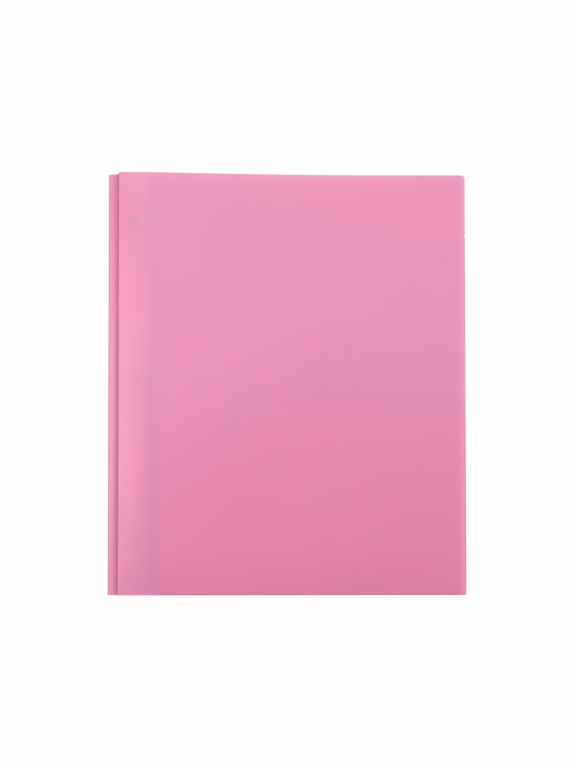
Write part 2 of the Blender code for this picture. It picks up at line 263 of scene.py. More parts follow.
class FolderLook(bpy.types.PropertyGroup):
    """Colours and clarity of the sheets and the metal."""

    cover: colour("Cover", "Colour of the cover sheet", (0.98, 0.378, 0.63))
    tall: colour("Tall pocket", "Colour of the tall pockets' sheet", (0.95, 0.365, 0.62))
    short: colour("Short pocket", "Colour of the short pockets' sheet", (0.985, 0.33, 0.57))
    # Painted shade on the covers over the tall pocket's weld margin, over the tall pocket and over the short
    # pocket
    shade_over_weld: colour("Over weld", "Colour of a cover over its tall pocket's weld", (0.77, 0.378, 0.643))
    shade_over_tall: colour("Over tall pocket", "Colour of a cover over its tall pocket", (0.84, 0.376, 0.64))
    shade_over_short: colour("Over short pocket", "Colour of a cover over its short pocket", (0.80, 0.368, 0.615))
    # Painted highlight: colour of the sheen painted along the covers' rolled outer edge
    edge_sheen: colour("Fold whitening", "Colour of the covers along their outer edge", (1.0, 0.58, 0.88))
    # Painted shade: the spine's colour is a darker copy of the cover colour, standing in for its shade
    spine: colour("Spine", "Duller colour of the bent spine", (0.93, 0.39, 0.64))
    crease: colour("Crease", "Paler colour of the sheet where it is creased", (0.985, 0.50, 0.70))
    edge: colour("Cut edge", "Colour of the sheets' cut edges", (0.985, 0.40, 0.62))
    clarity: share("Clarity", "Share of the light that a cover lets through", 0.56)
    tall_clarity: share("Tall pocket clarity", "Share of the light that a tall pocket lets through", 0.55)
    short_clarity: share("Short pocket clarity", "Share of the light that a short pocket lets through", 0.25)
    weld: colour("Weld", "Colour of the tall pockets' welded margin", (0.88, 0.385, 0.64))
    # Painted shade: colour of the cover where a proud prong shows through it
    mark: colour("Press mark", "Colour of the cover where a proud prong rubs it", (0.76, 0.37, 0.58))
    steel: colour("Steel", "Colour of the tinned steel", (0.62, 0.62, 0.64))


class FolderStage(bpy.types.PropertyGroup):
    """Camera, floor and lights."""

    camera_place: numbers(
        "Camera", "Where the camera stands", (-0.0621, -0.100, 1.100), subtype="TRANSLATION"
    )
    camera_turn: numbers(
        "Camera turn", "How the camera is turned",
        (math.radians(2.14), math.radians(-1.36), math.radians(0.02)), subtype="EULER",
    )
    shift: numbers("Shift", "Shift of the lens to the right and up", (0.0688, 0.1106))
    lens: number("Lens", "Focal length in millimetres", 74.4)
    floor: colour("Floor", "Colour of the floor", (0.38, 0.38, 0.38))
    key_power: number("Key light", "Power in watts", 12.6)
    left_power: number("Left light", "Power in watts", 5.2)
    side_power: number("Side light", "Power in watts", 2.0)
    right_power: number("Right light", "Power in watts", 2.3)
    sky: number("Sky", "Strength of the light from all round", 0.21)


class Leaf:
    """One cover's plane: it places a point from its distance to the score line, its height and its depth."""

    def __init__(self, side, shape):
        self.side = side
        self.shape = shape
        self.is_front = side == "front"
        self.score = UPPER_SCORE if self.is_front else LOWER_SCORE
        self.reach = RIGHT - self.score.x
        self.short_edge = self.reach - SHORT_FOLD_EDGE
        self.tall_edge = self.reach - TALL_FOLD_EDGE
        self.start = HINGE_GAP if self.is_front else BACK_LOW.x - LOWER_SCORE.x
        self.tall_left = TALL_LOW.x - self.score.x
        self.short_left = SHORT_LOW.x - self.score.x
        # The back's folds end a little short of the front's, so that no gap lies over another
        stagger = 0 if self.is_front else 1.5 * shape.fold_notch
        self.fold_left = self.short_left + stagger
        self.short_top = SHORT_TOP - stagger
        self.tall_top = TALL_OUTER_TOP - stagger

    def belly(self, s, y):
        """How far the front cover stands out from its flat plane."""
        if not self.is_front:
            return 0.0
        shape = self.shape
        rise = soft_ramp(s / shape.band, shape.band_soften / shape.band)
        to_side = self.tall_edge - s
        side = 1 - (1 - shape.side_share) * max(0.0, 1 - to_side / shape.side_fall) ** 2
        side -= shape.side_share * max(0.0, 1 - to_side / shape.side_roll) ** 2
        bottom = 1 - max(0.0, 1 - (y - FOLD_FLOOR) / shape.bottom_roll) ** 2
        if s > self.tall_edge:
            side = 0.0
        if y < FOLD_FLOOR:
            bottom = 0.0
        wave = math.sin(s * RIPPLE_ACROSS + RIPPLE_START[0]) * math.sin(y * RIPPLE_ALONG + RIPPLE_START[1])
        wave += math.sin(s * RIPPLE_SLANT[0] - y * RIPPLE_SLANT[1])
        return (shape.bow * rise + shape.ripple * wave * rise) * side * bottom

    def round_top(self, s, y):
        """Draws a place in towards the cover's rounded top outer corner."""
        radius = self.shape.top_corner
        across = (s - self.reach) / radius + 1
        along = (y - TOP) / radius + 1
        if across <= 0 or along <= 0:
            return s, y
        s = self.reach - radius + radius * across * math.sqrt(1 - along * along / 2)
        return s, TOP - radius + radius * along * math.sqrt(1 - across * across / 2)

    def place(self, s, y, depth):
        """The point at a distance from the score line, a height, and a depth inwards from the cover."""
        if not self.is_front:
            return Vector((self.score.x + s, y, HALF_SHEET + depth))
        w = self.belly(s, y) - depth
        sag = math.sin(math.pi * min(1.0, max(0.0, s / self.reach)) ** SAG_SKEW)
        y -= self.shape.top_dip * sag * ease(1 - (TOP - y) / self.shape.dip_reach)
        x = self.score.x + s * math.cos(COVER_TILT) + w * math.sin(COVER_TILT)
        z = self.score.z - s * math.sin(COVER_TILT) + w * math.cos(COVER_TILT)
        return Vector((x, y, z))


def ease(t):
    """Smooth step from 0 to 1."""
    t = min(1.0, max(0.0, t))
    return t * t * (3 - 2 * t)


def soft_ramp(t, soften):
    """Straight rise from 0 to 1 that levels out softly."""
    if t < 1 - soften:
        return t
    if t > 1 + soften:
        return 1.0
    return t - (t - 1 + soften) ** 2 / (4 * soften)


def fractions(steps):
    """Even shares from 0 to 1."""
    return [step / steps for step in range(steps + 1)]


def stations(*breaks):
    """Places from break to break: each break is (place, longest step up to the next one)."""
    places = []
    for (low, step), (high, _) in zip(breaks, breaks[1:]):
        count = max(1, math.ceil((high - low) / step - 1e-6))
        places.extend(low + (high - low) * index / count for index in range(count))
    places.append(breaks[-1][0])
    return places


def bent_corner(start, corner, end):
    """Points of the curve that leaves one point and reaches another on the two sides of a corner."""
    shares = fractions(CORNER_STEPS)
    return [(1 - t) ** 2 * start + 2 * t * (1 - t) * corner + t * t * end for t in shares]


def round_corner(before, corner, after, radius):
    """Points of the arc that rounds one corner of a line."""
    to_before = (before - corner).normalized()
    to_after = (after - corner).normalized()
    cut = radius / math.tan(to_before.angle(to_after) / 2)
    return bent_corner(corner + to_before * cut, corner, corner + to_after * cut)


def mouth_line(*knots):
    """A pocket's mouth from knots (place, height, radius), as points from the spine side outwards."""
    points = []
    for index, (s, y, radius) in enumerate(knots):
        corner = Vector((s, y))
        if radius == 0:
            points.append(corner)
            continue
        before = Vector(knots[index - 1][:2])
        after = Vector(knots[index + 1][:2])
        points.extend(round_corner(before, corner, after, radius))
    return points


def tall_mouth(leaf, shape):
    """The tall pocket's mouth: level, a steep shoulder, then a long slope to the outer edge."""
    left = leaf.tall_left
    shoulder = left + shape.tall_shoulder_in
    top = TOP - shape.tall_top_margin
    return mouth_line(
        (left, top, 0),
        (shoulder, top, TALL_CORNERS[0]),
        (shoulder + shape.tall_shoulder_run, top - shape.tall_shoulder_drop, TALL_CORNERS[1]),
        (leaf.reach - shape.tall_mouth_flat, TALL_OUTER_TOP, TALL_CORNERS[2]),
        (leaf.tall_edge - SEAM, TALL_OUTER_TOP, 0),
    )


def short_mouth(leaf, shape):
    """The short pocket's mouth: it rises from the spine side to a level line."""
    left = leaf.short_left
    return mouth_line(
        (left, BOTTOM + shape.short_inner_height, 0),
        (left + shape.short_knee_in, BOTTOM + shape.short_knee_height, SHORT_CORNERS[0]),
        (left + shape.short_shoulder_in, SHORT_TOP, SHORT_CORNERS[1]),
        (leaf.short_edge - SEAM, SHORT_TOP, 0),
    )


def mouth_height(points, s):
    """Height of a mouth line at a distance from the score line."""
    for low, high in zip(points, points[1:]):
        if s <= high.x:
            return low.y + (high.y - low.y) * max(0.0, s - low.x) / max(1e-9, high.x - low.x)
    return points[-1].y


def mesh_piece(name, bm, materials):
    """An object made from a mesh under construction, with its finishes."""
    mesh = bpy.data.meshes.new(name)
    bm.normal_update()
    bm.to_mesh(mesh)
    bm.free()
    piece = bpy.data.objects.new(name, mesh)
    bpy.context.scene.collection.objects.link(piece)
    for material in materials:
        mesh.materials.append(material)
    mesh.shade_smooth()
    return piece


def thick_piece(name, bm, materials, thickness, rounding):
    """A piece of a thickness with rounded cut edges, made from the faces of its middle."""
    bmesh.ops.recalc_face_normals(bm, faces=bm.faces)
    piece = mesh_piece(name, bm, materials)
    solid = piece.modifiers.new("thickness", "SOLIDIFY")
    solid.thickness = thickness
    solid.offset = 0
    solid.use_even_offset = True
    solid.material_offset_rim = 1 if len(piece.data.materials) > 1 else 0
    bevel = piece.modifiers.new("rounding", "BEVEL")
    bevel.width = rounding
    bevel.segments = 2
    bevel.limit_method = "ANGLE"
    bevel.angle_limit = math.radians(50)
    bevel.harden_normals = True
    return settle(piece)


def sheet_piece(name, bm, kind, shape, look):
    """A sheet in one of the finishes, with its cut edges in another."""
    finishes = sheet_finishes(shape, look)
    return thick_piece(name, bm, (finishes[kind], finishes["edge"]), SHEET, shape.edge_round)


def settle(piece):
    """Replaces a piece's mesh by what its modifiers make of it."""
    graph = bpy.context.evaluated_depsgraph_get()
    made = bpy.data.meshes.new_from_object(piece.evaluated_get(graph))
    made.name = piece.name
    old = piece.data
    piece.modifiers.clear()
    piece.data = made
    bpy.data.meshes.remove(old)
    return piece


def strip_faces(bm, lines):
    """Quads between lines of points of the same count."""
    rows = [[bm.verts.new(point) for point in line] for line in lines]
    for low, high in zip(rows, rows[1:]):
        for index in range(len(low) - 1):
            bm.faces.new((low[index], low[index + 1], high[index + 1], high[index]))


# Finishes


def feed(tree, socket, source):
    """Links an input to an output, or sets it to a plain value."""
    if isinstance(source, bpy.types.NodeSocket):
        tree.links.new(source, socket)
    else:
        socket.default_value = source


def feed_inputs(tree, node, **sources):
    """Feeds a node's inputs by name."""
    for label, source in sources.items():
        feed(tree, node.inputs[label.replace("_", " ")], source)
    return node


def add_node(tree, kind, options=None, **sources):
    """A shader node of a kind with its options, and with its inputs fed by name."""
    node = tree.nodes.new(f"ShaderNode{kind}")
    for key, value in (options or {}).items():
        setattr(node, key, value)
    return feed_inputs(tree, node, **sources)


def calc(tree, operation, *sources, kind="Math", result="Value"):
    """The result of a sum on outputs or plain values."""
    node = add_node(tree, kind, {"operation": operation})
    for socket, source in zip(node.inputs, sources):
        feed(tree, socket, source)
    return node.outputs[result]


def vector_calc(tree, operation, *sources, result="Vector"):
    """The result of a sum on vectors."""
    return calc(tree, operation, *sources, kind="VectorMath", result=result)


def smooth_step(tree, source, none_at, full_at):
    """0 at one value and 1 at another, with a soft change between them."""
    step = add_node(
        tree, "MapRange", {"interpolation_type": "SMOOTHSTEP"},
        Value=source, From_Min=none_at, From_Max=full_at,
    )
    return step.outputs["Result"]


def mix_shader(tree, share_of_second, first, second):
    """A mix of two shaders."""
    mix = add_node(tree, "MixShader", Fac=share_of_second)
    tree.links.new(first.outputs[0], mix.inputs[1])
    tree.links.new(second.outputs[0], mix.inputs[2])
    return mix


def new_group(name, inputs, outputs):
    """An empty shader node group with named sockets."""
    group = bpy.data.node_groups.new(name, "ShaderNodeTree")
    for label, kind, default in inputs:
        socket = group.interface.new_socket(label, in_out="INPUT", socket_type=kind)
        socket.default_value = default
    for label, kind in outputs:
        group.interface.new_socket(label, in_out="OUTPUT", socket_type=kind)
    group.nodes.new("NodeGroupInput").name = "In"
    group.nodes.new("NodeGroupOutput").name = "Out"
    return group


def put_out(group, **sources):
    """Feeds a group's outputs."""
    feed_inputs(group, group.nodes["Out"], **sources)
    return group


def mask_group(name):
    """An empty group that puts out a mask."""
    return new_group(name, [], [("Mask", FLOAT)])


def object_place(group):
    """The place on the object."""
    return add_node(group, "TexCoord").outputs["Object"]


def object_axes(group):
    """The place on the object, axis by axis."""
    return add_node(group, "SeparateXYZ", Vector=object_place(group)).outputs


def matte_grain_group():
    """Fine matte grain and slow cloudiness of an extruded sheet."""
    group = bpy.data.node_groups.get("Matte Grain")
    if group:
        return group
    group = new_group(
        "Matte Grain",
        [
            ("Colour", COLOUR, (1, 1, 1, 1)),
            ("Grain Scale", FLOAT, 2200.0),
            ("Cloudiness", FLOAT, 0.05),
            ("Roughness", FLOAT, 0.45),
        ],
        [("Colour", COLOUR), ("Roughness", FLOAT), ("Height", FLOAT)],
    )
    given = group.nodes["In"].outputs
    place = object_place(group)
    grain = add_node(
        group, "TexNoise", Vector=place, Scale=given["Grain Scale"], Detail=3.0, Roughness=0.6
    )
    cloud = add_node(group, "TexNoise", Vector=place, Scale=26.0, Detail=4.0, Roughness=0.55)
    centred = calc(group, "SUBTRACT", cloud.outputs["Fac"], 0.5)
    amount = calc(group, "MULTIPLY_ADD", centred, given["Cloudiness"], 1.0)
    tint = add_node(
        group, "VectorMath", {"operation": "SCALE"}, Vector=given["Colour"], Scale=amount
    )
    rough = calc(group, "MULTIPLY_ADD", centred, 0.12, given["Roughness"])
    return put_out(group, Colour=tint.outputs["Vector"], Roughness=rough, Height=grain.outputs["Fac"])


def shade_spots_group(shade_spots, half_width, half_length):
    """Soft spots (centre, strength) of painted shade where the proud prongs show through the front cover from
    inside.
    """
    group = mask_group("Press Marks")
    place = object_place(group)
    total = 0.0
    for centre, strength in shade_spots:
        offset = vector_calc(group, "SUBTRACT", place, centre)
        scaled = vector_calc(group, "MULTIPLY", offset, (1 / half_width, 1 / half_length, 0))
        square = vector_calc(group, "DOT_PRODUCT", scaled, scaled, result="Value")
        fade = calc(group, "POWER", math.exp(-0.5), square)
        total = calc(group, "MULTIPLY_ADD", fade, strength, total)
    return put_out(group, Mask=total)


def margin_group(name, none_at, full_at):
    """A margin along the folder that grows from one place across to another."""
    group = mask_group(name)
    return put_out(group, Mask=smooth_step(group, object_axes(group)["X"], none_at, full_at))


def pocket_shade_group(name, leaf, mouth, left, soften):
    """Mask of the painted shade where a pocket lies close behind its cover: under its mouth line and beyond
    its side near the spine.
    """
    group = mask_group(name)
    axes = object_axes(group)
    across = add_node(group, "MapRange", Value=axes["X"], From_Min=leaf.score.x, From_Max=RIGHT)
    line = add_node(group, "FloatCurve", Value=across.outputs["Result"])
    line.mapping.extend = "HORIZONTAL"
    knots = [(point.x / leaf.reach, (point.y - BOTTOM) / (TOP - BOTTOM)) for point in mouth]
    points = line.mapping.curves[0].points
    points[0].location = knots[0]
    points[-1].location = knots[-1]
    for knot in knots[1:-1]:
        points.new(*knot)
    for point in points:
        point.handle_type = "VECTOR"
    line.mapping.update()
    height = calc(group, "MULTIPLY_ADD", line.outputs["Value"], TOP - BOTTOM, BOTTOM)
    over = calc(group, "SUBTRACT", axes["Y"], height)
    under = smooth_step(group, over, SHARP_EDGE, -SHARP_EDGE)
    side = leaf.score.x + left
    beyond = smooth_step(group, axes["X"], side - soften, side + soften)
    return put_out(group, Mask=calc(group, "MULTIPLY", under, beyond))


def tint_by_mask(group, tint, *materials):
    """Changes the colour of sheets where a group's mask says so."""
    for material in materials:
        tree = material.node_tree
        colour_in = tree.nodes["Principled BSDF"].inputs["Base Color"]
        mask = add_node(tree, "Group", {"node_tree": group}).outputs["Mask"]
        mix = add_node(tree, "Mix", {"data_type": "RGBA"})
        feed(tree, mix.inputs[MIX_SHARE], mask)
        feed(tree, mix.inputs[MIX_PLAIN], colour_in.links[0].from_socket)
        feed(tree, mix.inputs[MIX_TINT], (*tint, 1))
        feed(tree, colour_in, mix.outputs[MIX_RESULT])


def new_finish(name):
    """A material with its node tree and its Principled shader."""
    material = bpy.data.materials.new(name)
    material.use_nodes = True
    return material, material.node_tree, material.node_tree.nodes["Principled BSDF"]


def sheet_finish(name, tint, clarity, roughness=0.31, cloudiness=0.05):
    """Translucent matte sheet: each face scatters some light back and lets some through."""
    material, tree, surface = new_finish(name)
    grain = add_node(
        tree, "Group", {"node_tree": matte_grain_group()},
        Colour=(*tint, 1), Cloudiness=cloudiness, Roughness=roughness,
    ).outputs
    bump = add_node(tree, "Bump", Strength=0.18, Distance=0.06 * MM, Height=grain["Height"])
    feed_inputs(
        tree, surface, Base_Color=grain["Colour"], Roughness=grain["Roughness"],
        Normal=bump.outputs["Normal"], IOR=1.49,
    )
    through = add_node(tree, "BsdfTranslucent", Color=(*tint, 1))
    face = mix_shader(tree, clarity, surface, through)
    inside = add_node(tree, "NewGeometry").outputs["Backfacing"]
    sheet = mix_shader(tree, inside, face, add_node(tree, "BsdfTransparent"))
    feed_inputs(tree, tree.nodes["Material Output"], Surface=sheet.outputs[0])
    return material


def sheet_finishes(shape, look):
    """The sheets' finishes by name, made once."""
    if "cover_finish" not in bpy.data.materials:
        cover = sheet_finish("cover_finish", look.cover, look.clarity)
        front = sheet_finish("front_finish", look.cover, look.clarity)
        leaf = Leaf("front", shape)
        tall_edge = tall_mouth(leaf, shape)
        short_edge = short_mouth(leaf, shape)
        # Painted shade on both covers over the tall pocket's weld margin, the tall pocket and the short
        # pocket
        for name, mouth, left, soften, tint in (
            ("Weld Shade", tall_edge, leaf.tall_left, SIDE_SOFTEN, look.shade_over_weld),
            ("Tall Pocket Shade", tall_edge, leaf.short_left, WELD_FADE, look.shade_over_tall),
            ("Short Pocket Shade", short_edge, leaf.short_left, SHARP_EDGE, look.shade_over_short),
        ):
            tint_by_mask(pocket_shade_group(name, leaf, mouth, left, soften), tint, cover, front)
        # Painted highlight: sheen along the covers' rolled outer edge
        sheen_mask = margin_group("Fold Whitening", RIGHT - shape.edge_sheen, RIGHT + SHEEN_PAST_EDGE)
        tint_by_mask(sheen_mask, look.edge_sheen, cover, front)
        # Painted shade: dark spots on the front cover where the proud prongs show through
        shade_spots = shade_spots_group(proud_humps(shape), shape.spot_across, shape.spot_along)
        tint_by_mask(shade_spots, look.mark, front)
        # Painted shade: the spine gets the darker copy of the cover colour
        sheet_finish("spine_finish", look.spine, look.clarity)
        tall = sheet_finish("tall_finish", look.tall, look.tall_clarity)
        weld = margin_group("Weld Margin", SHORT_LOW.x + WELD_SOFTEN, SHORT_LOW.x - WELD_SOFTEN)
        tint_by_mask(weld, look.weld, tall)
        sheet_finish("short_finish", look.short, look.short_clarity)
        sheet_finish("edge_finish", look.edge, look.clarity, roughness=0.5, cloudiness=0.02)
        sheet_finish("crease_finish", look.crease, look.clarity, roughness=0.4, cloudiness=0.1)
    return {name: bpy.data.materials[f"{name}_finish"] for name in SHEET_KINDS}


def drawn_metal_group():
    """Fine lines of rolled metal along one direction."""
    group = new_group(
        "Drawn Metal",
        [("Roughness", FLOAT, 0.35), ("Spread", FLOAT, 0.18)],
        [("Roughness", FLOAT), ("Height", FLOAT)],
    )
    given = group.nodes["In"].outputs
    stretched = add_node(
        group, "Mapping", Vector=object_place(group), Scale=(9000.0, 160.0, 2000.0)
    )
    lines = add_node(
        group, "TexNoise", Vector=stretched.outputs["Vector"], Scale=1.0, Detail=2.0
    ).outputs["Fac"]
    rough = calc(group, "MULTIPLY_ADD", lines, given["Spread"], given["Roughness"])
    return put_out(group, Roughness=rough, Height=lines)


def steel_finish(look):
    """Tinned sheet steel with fine rolling lines."""
    made = bpy.data.materials.get("fastener_steel_finish")
    if made:
        return made
    material, tree, surface = new_finish("fastener_steel_finish")
    lines = add_node(tree, "Group", {"node_tree": drawn_metal_group()}, Roughness=0.26).outputs
    bump = add_node(tree, "Bump", Strength=0.15, Distance=0.03 * MM, Height=lines["Height"])
    feed_inputs(
        tree, surface, Base_Color=(*look.steel, 1), Metallic=1.0, Roughness=lines["Roughness"],
        Normal=bump.outputs["Normal"],
    )
    return material


# Sheets


def add_hem(bm, leaf, path, radius):
    """A fold swept along a path of (place, height, way out): half round, from the cover in to a pocket."""
    lines = []
    for s, y, out_s, out_y in path:
        line = []
        for turn in (math.pi * t for t in fractions(HEM_STEPS)):
            out = radius * math.sin(turn)
            line.append(leaf.place(s + out_s * out, y + out_y * out, radius * (1 - math.cos(turn))))
        lines.append(line)
    strip_faces(bm, lines)


def cover_grid(shape, leaf):
    """Columns and rows of a cover's cells, finer where it rolls over."""
    step = shape.mesh_step
    columns = stations(
        (leaf.start, SMALL_CELL),
        (leaf.start + HINGE_ZONE, 4 * SMALL_CELL),
        (KNEE_ZONE[0], SMALL_CELL),
        (KNEE_ZONE[1], step),
        (leaf.fold_left - FOLD_SLIT, step),
        (leaf.fold_left, step),
        (leaf.reach - OUTER_ZONE, MOUTH_CELL),
        (leaf.reach - shape.top_corner, FOLD_CELL),
        (leaf.short_edge, FOLD_CELL),
        (leaf.tall_edge, RIM_CELL),
        (leaf.reach, step),
    )
    rows = stations(
        (BOTTOM, step),
        (FOLD_FLOOR, ROLL_CELL),
        (FOLD_FLOOR + BOTTOM_ZONE, step),
        (leaf.short_top, step),
        (leaf.short_top + shape.fold_notch, step),
        (leaf.tall_top, step),
        (leaf.tall_top + shape.fold_notch, step),
        (TOP - shape.top_corner, RIM_CELL),
        (TOP, step),
    )
    return columns, rows


def in_cover(shape, leaf, s, y):
    """Whether a place belongs to the flat of a cover."""
    if y < FOLD_FLOOR and s > leaf.fold_left - FOLD_SLIT:
        return False
    if s > leaf.short_edge and y < leaf.short_top + shape.fold_notch:
        return False
    return not (s > leaf.tall_edge and y < leaf.tall_top + shape.fold_notch)


def add_cover(side, shape, look):
    """One cover with its rounded edges, as one thin sheet."""
    leaf = Leaf(side, shape)
    columns, rows = cover_grid(shape, leaf)
    bm = bmesh.new()
    corners = {}
    for left, right in zip(columns, columns[1:]):
        for low, high in zip(rows, rows[1:]):
            if not in_cover(shape, leaf, (left + right) / 2, (low + high) / 2):
                continue
            cell = []
            for key in ((left, low), (right, low), (right, high), (left, high)):
                if key not in corners:
                    corners[key] = bm.verts.new(leaf.place(*leaf.round_top(*key), 0))
                cell.append(corners[key])
            bm.faces.new(cell)
    edge = leaf.short_edge
    path = [(s, FOLD_FLOOR, 0, -1) for s in columns if leaf.fold_left <= s <= edge]
    for turn in (math.pi / 2 * t for t in fractions(HEM_TURN_STEPS)[1:-1]):
        path.append((edge, FOLD_FLOOR, math.sin(turn), -math.cos(turn)))
    path.extend((edge, y, 1, 0) for y in rows if FOLD_FLOOR <= y <= leaf.short_top)
    add_hem(bm, leaf, path, SHORT_FOLD)
    tall_rows = [y for y in rows if leaf.short_top + shape.fold_notch <= y <= leaf.tall_top]
    add_hem(bm, leaf, [(leaf.tall_edge, y, 1, 0) for y in tall_rows], TALL_FOLD)
    bmesh.ops.remove_doubles(bm, verts=bm.verts, dist=1e-6)
    finish = "front" if leaf.is_front else "cover"
    piece = sheet_piece(f"{side}_cover_sheet", bm, finish, shape, look)
    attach(piece, side)
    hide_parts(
        f"{side}_cover", f"{side}_pocket_bottom_fold", f"{side}_short_pocket_side_fold",
        f"{side}_tall_pocket_side_fold",
    )


def add_pocket(kind, leaf, look, mouth, columns, floor_at, depth):
    """A pocket's panel under a mouth line, at a depth inwards from its cover."""
    side, shape = leaf.side, leaf.shape
    ends = [(s, floor_at(s), mouth_height(mouth, s)) for s in columns]
    count = math.ceil(max(high - low for _, low, high in ends) / shape.mesh_step) + EXTRA_ROWS
    # Rows lie closer together near the bottom fold, where the cover rolls over
    shares = [ROW_CROWDING * t ** 2 + (1 - ROW_CROWDING) * t for t in fractions(count)]
    bm = bmesh.new()
    strip_faces(bm, [[leaf.place(s, low + (high - low) * t, depth) for t in shares] for s, low, high in ends])
    piece = sheet_piece(f"{side}_{kind}_pocket_sheet", bm, kind, shape, look)
    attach(piece, side)
    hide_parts(f"{side}_{kind}_pocket")


def tall_pocket(side, shape, look):
    """The tall pocket, with a steep shoulder and a long sloping mouth."""
    leaf = Leaf(side, shape)
    left = leaf.tall_left
    mouth = tall_mouth(leaf, shape)
    right = mouth[-1].x
    inner = leaf.short_edge - CLEARANCE
    shoulder = left + shape.tall_shoulder_in
    columns = stations(
        (left, shape.mesh_step),
        (shoulder - SHOULDER_ZONE[0], MOUTH_CELL),
        (shoulder + SHOULDER_ZONE[1], shape.mesh_step),
        (leaf.reach - SLOPE_END_ZONE, MOUTH_CELL),
        (inner, SMALL_CELL),
        (inner + NOTCH_CELL, SMALL_CELL),
        (right, SMALL_CELL),
    )

    def floor_at(s):
        if s <= inner + 1e-9:
            return FOLD_FLOOR + CLEARANCE
        return leaf.short_top + shape.fold_notch

    add_pocket("tall", leaf, look, mouth, columns, floor_at, LAYER)


def short_pocket(side, shape, look):
    """The short pocket, with a level mouth that falls away towards the spine."""
    leaf = Leaf(side, shape)
    left = leaf.short_left
    mouth = short_mouth(leaf, shape)
    right = mouth[-1].x
    columns = stations(
        (left, KNEE_CELL),
        (left + shape.short_shoulder_in + KNEE_PAST, shape.mesh_step),
        (leaf.reach - OUTER_ZONE, MOUTH_CELL),
        (right, SMALL_CELL),
    )

    def floor_at(s):
        return FOLD_FLOOR + SEAM

    add_pocket("short", leaf, look, mouth, columns, floor_at, 2 * LAYER)


def bezier(points, t):
    """A point of a cubic curve."""
    a, b, c, d = points
    u = 1 - t
    return u ** 3 * a + 3 * u * u * t * b + 3 * u * t * t * c + t ** 3 * d


def direction(turn):
    """One step across the folder at an angle from level."""
    return Vector((math.cos(turn), math.sin(turn)))


def arc(centre, radius, first, last, steps):
    """Points of an arc across the folder."""
    return [centre + radius * direction(first + (last - first) * t) for t in fractions(steps)]


def spine_profile(shape, relax):
    """The spine's line across, from the lower score line's left to just under the upper one."""
    points = arc(LOWER_POINT, SPINE_ROLL, math.pi, math.pi / 2 + shape.spine_start_slope, 4)
    start = points.pop()
    out = direction(shape.spine_start_slope)
    into = direction(shape.spine_end_slope)
    end = UPPER_POINT - HINGE_GAP * into
    shelf = start + out * (shape.spine_shelf + shape.spine_relax * relax)
    wall = end - into * shape.spine_wall
    return points + [bezier((start, shelf, wall, end), t) for t in fractions(SPINE_STEPS)]


def add_spine(shape, look):
    """The spine panel, hollow across and a little flatter at mid height."""
    heights = stations((BOTTOM, SPINE_CELL), (TOP, SPINE_CELL))
    lines = []
    for y in heights:
        relax = math.cos(math.pi * y / (TOP - BOTTOM)) ** 2
        lines.append([Vector((p.x, y, p.y)) for p in spine_profile(shape, relax)])
    bm = bmesh.new()
    strip_faces(bm, lines)
    piece = sheet_piece("spine_sheet", bm, "spine", shape, look)
    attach(piece, "spine")
    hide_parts("spine_panel")


def add_score(name, shape, look, profile):
    """A creased strip along a score line, between two bodies."""
    heights = stations((BOTTOM, 2 * SPINE_CELL), (TOP, 2 * SPINE_CELL))
    bm = bmesh.new()
    strip_faces(bm, [[Vector((p.x, y, p.y)) for p in profile] for y in heights])
    finish = sheet_finishes(shape, look)["crease"]
    piece = thick_piece(name, bm, (finish,), CREASE, CREASE_ROUND)
    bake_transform(piece)


def add_score_lines(shape, look):
    """Both creased strips, one on each side of the spine."""
    low = [Vector((BACK_LOW.x, HALF_SHEET)), *arc(LOWER_POINT, SPINE_ROLL, -math.pi / 2, -math.pi, 6)]
    add_score(
        "lower_score_strip", shape, look, low,
    )
    below = UPPER_POINT - HINGE_GAP * direction(shape.spine_end_slope)
    beside = UPPER_POINT + HINGE_GAP * direction(-COVER_TILT)
    high = bent_corner(below, UPPER_POINT, beside)
    add_score(
        "upper_score_strip", shape, look, high,
    )


# Binding strip and fasteners


def add_binding_strip(shape, look):
    """The strip beside the spine: pressed down along both sides, raised over the fastener bases."""
    middle = (STRIP_LOW.x + STRIP_HIGH.x) / 2
    half = (STRIP_HIGH.x - STRIP_LOW.x) / 2
    raised = (STRIP_LOW.z + STRIP_HIGH.z) / 2
    pressed = BACK_HIGH.z + HALF_SHEET + STRIP_GAP
    ramp = shape.strip_channel / 2
    roots = [joint["pos_m"][1] for name, joint in JOINTS.items() if name.endswith("_bend")]
    slot_half_width = PRONG_WIDTH / 2 + CLEARANCE
    slope = [-ramp - STRIP_RAMP, -ramp - STRIP_RAMP / 2, -ramp]
    columns = [-half, -half + STRIP_RIM, *slope, -slot_half_width]
    columns = columns + [0.0] + [-c for c in reversed(columns)]
    breaks = [(STRIP_LOW.y, STRIP_CELL)]
    for y in sorted(roots):
        breaks.extend(((y - SLOT_HALF_LENGTH, SMALL_CELL), (y + SLOT_HALF_LENGTH, STRIP_CELL)))
    breaks.append((STRIP_HIGH.y, STRIP_CELL))
    rows = stations(*breaks)
    bm = bmesh.new()
    grid = {}

    def point(c, y):
        if (c, y) not in grid:
            up = 1 - ease((abs(c) - ramp) / STRIP_RAMP)
            grid[(c, y)] = bm.verts.new((middle + c, y, pressed + (raised - pressed) * up))
        return grid[(c, y)]

    for left, right in zip(columns, columns[1:]):
        for low, high in zip(rows, rows[1:]):
            across, along = (left + right) / 2, (low + high) / 2
            if abs(across) < slot_half_width and any(abs(along - y) < SLOT_HALF_LENGTH for y in roots):
                continue
            bm.faces.new((point(left, low), point(right, low), point(right, high), point(left, high)))
    piece = sheet_piece("binding_strip_sheet", bm, "cover", shape, look)
    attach(piece, "back")
    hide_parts("binding_strip")


